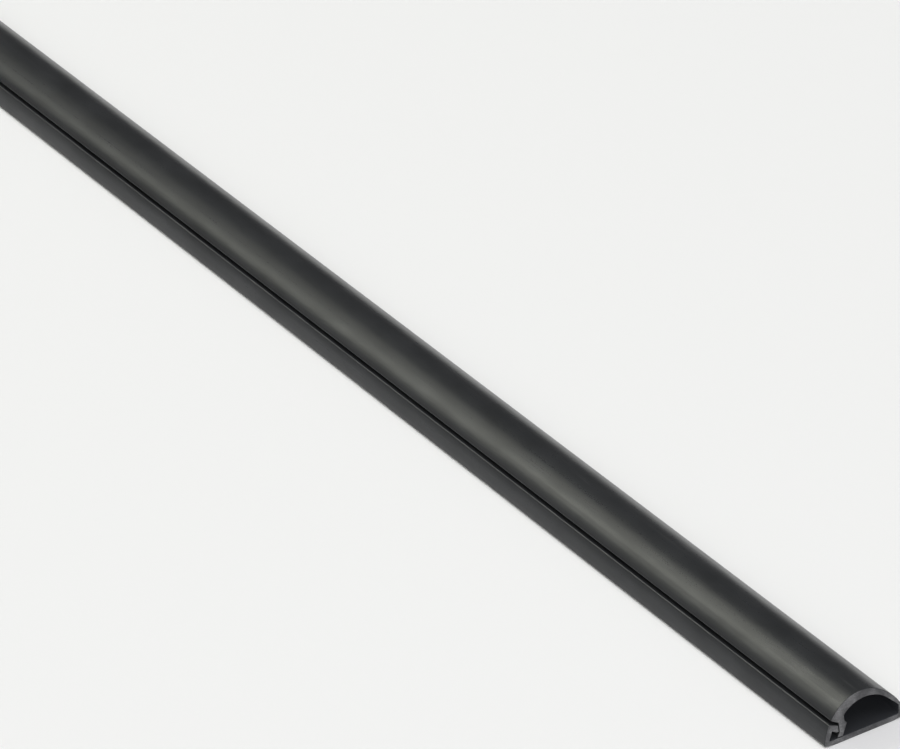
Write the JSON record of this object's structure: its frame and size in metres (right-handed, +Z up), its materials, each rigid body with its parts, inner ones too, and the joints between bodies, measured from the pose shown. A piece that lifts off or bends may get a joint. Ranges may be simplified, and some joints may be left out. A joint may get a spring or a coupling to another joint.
{
  "type": "cord cover raceway",
  "caption": "Half-round one-piece cable raceway with a domed lid, hinged along one side and snapped shut along the other; lies flat on a wall or floor and covers cords.",
  "frame": {"origin": "centre of the flat underside, halfway along the length", "axes": "+X along the length, +Y across towards the hinge side (the parting slot is on the -Y side), +Z up from the underside to the crown"},
  "size_m": [0.4, 0.016, 0.0085],
  "materials": {
    "black_plastic": "satin black extruded plastic, lighter and duller on the cut ends"
  },
  "bodies": {
    "root": {"raceway": "black_plastic"}
  },
  "joints": []
}
